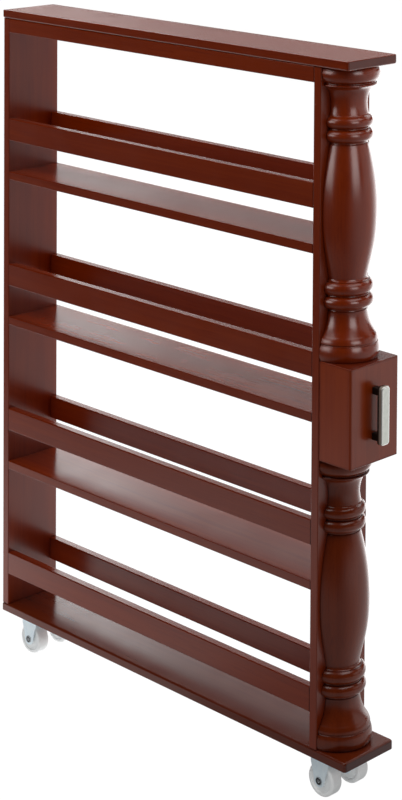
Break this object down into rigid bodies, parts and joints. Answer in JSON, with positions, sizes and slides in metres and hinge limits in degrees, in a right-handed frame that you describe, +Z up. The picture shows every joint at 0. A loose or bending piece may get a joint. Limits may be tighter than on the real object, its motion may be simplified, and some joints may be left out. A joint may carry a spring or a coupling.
{
  "type": "rolling pantry cart",
  "caption": "Slim open-shelf pantry cart on rigid casters, with retaining rails, a turned half-post and a pull block on its front end.",
  "frame": {"origin": "floor level under the middle of the cart's overall length and width", "axes": "+X towards the post and pull end, +Y to the right-hand long side, +Z up"},
  "size_m": [0.686, 0.094, 0.932],
  "materials": {
    "mahogany_lacquer": "semi-gloss red-brown lacquer over fine grain",
    "beech_dowel": "bare turned hardwood",
    "zinc_plate": "bright zinc plate with a blue cast",
    "rivet_steel": "dark oiled steel",
    "nylon": "natural translucent nylon, satin",
    "satin_nickel": "satin nickel with bright edges",
    "screw_steel": "zinc-plated screw"
  },
  "bodies": {
    "cart": {"apron_left": "mahogany_lacquer", "apron_right": "mahogany_lacquer", "base_board": "mahogany_lacquer", "base_screws": "screw_steel", "block_screws": "screw_steel", "caster_bracket_front_left": "zinc_plate", "caster_bracket_front_right": "zinc_plate", "caster_bracket_rear_left": "zinc_plate", "caster_bracket_rear_right": "zinc_plate", "caster_screws": "screw_steel", "end_panel_dowels": "beech_dowel", "front_end_panel": "mahogany_lacquer", "handle_block": "mahogany_lacquer", "post_lower": "mahogany_lacquer", "post_screws": "screw_steel", "post_upper": "mahogany_lacquer", "pull_handle": "satin_nickel", "pull_screws": "screw_steel", "rail_dowels": "beech_dowel", "rail_left_1": "mahogany_lacquer", "rail_left_2": "mahogany_lacquer", "rail_left_3": "mahogany_lacquer", "rail_left_4": "mahogany_lacquer", "rail_right_1": "mahogany_lacquer", "rail_right_2": "mahogany_lacquer", "rail_right_3": "mahogany_lacquer", "rail_right_4": "mahogany_lacquer", "rear_end_panel": "mahogany_lacquer", "shelf_lower": "mahogany_lacquer", "shelf_middle": "mahogany_lacquer", "shelf_screws": "screw_steel", "shelf_upper": "mahogany_lacquer", "top_board": "mahogany_lacquer", "wheel_axle_front_left": "rivet_steel", "wheel_axle_front_right": "rivet_steel", "wheel_axle_rear_left": "rivet_steel", "wheel_axle_rear_right": "rivet_steel"},
    "front_left_wheel": {"wheel_front_left": "nylon"},
    "front_right_wheel": {"wheel_front_right": "nylon"},
    "rear_left_wheel": {"wheel_rear_left": "nylon"},
    "rear_right_wheel": {"wheel_rear_right": "nylon"}
  },
  "joints": [
    {"name": "front_left_roll", "type": "hinge", "parent": "cart", "child": "front_left_wheel", "pos_m": [0.27, -0.025, 0.021], "axis": [0, 1, 0], "continuous": true},
    {"name": "front_right_roll", "type": "hinge", "parent": "cart", "child": "front_right_wheel", "pos_m": [0.27, 0.025, 0.021], "axis": [0, 1, 0], "continuous": true},
    {"name": "rear_left_roll", "type": "hinge", "parent": "cart", "child": "rear_left_wheel", "pos_m": [-0.295, -0.025, 0.021], "axis": [0, 1, 0], "continuous": true},
    {"name": "rear_right_roll", "type": "hinge", "parent": "cart", "child": "rear_right_wheel", "pos_m": [-0.295, 0.025, 0.021], "axis": [0, 1, 0], "continuous": true}
  ]
}
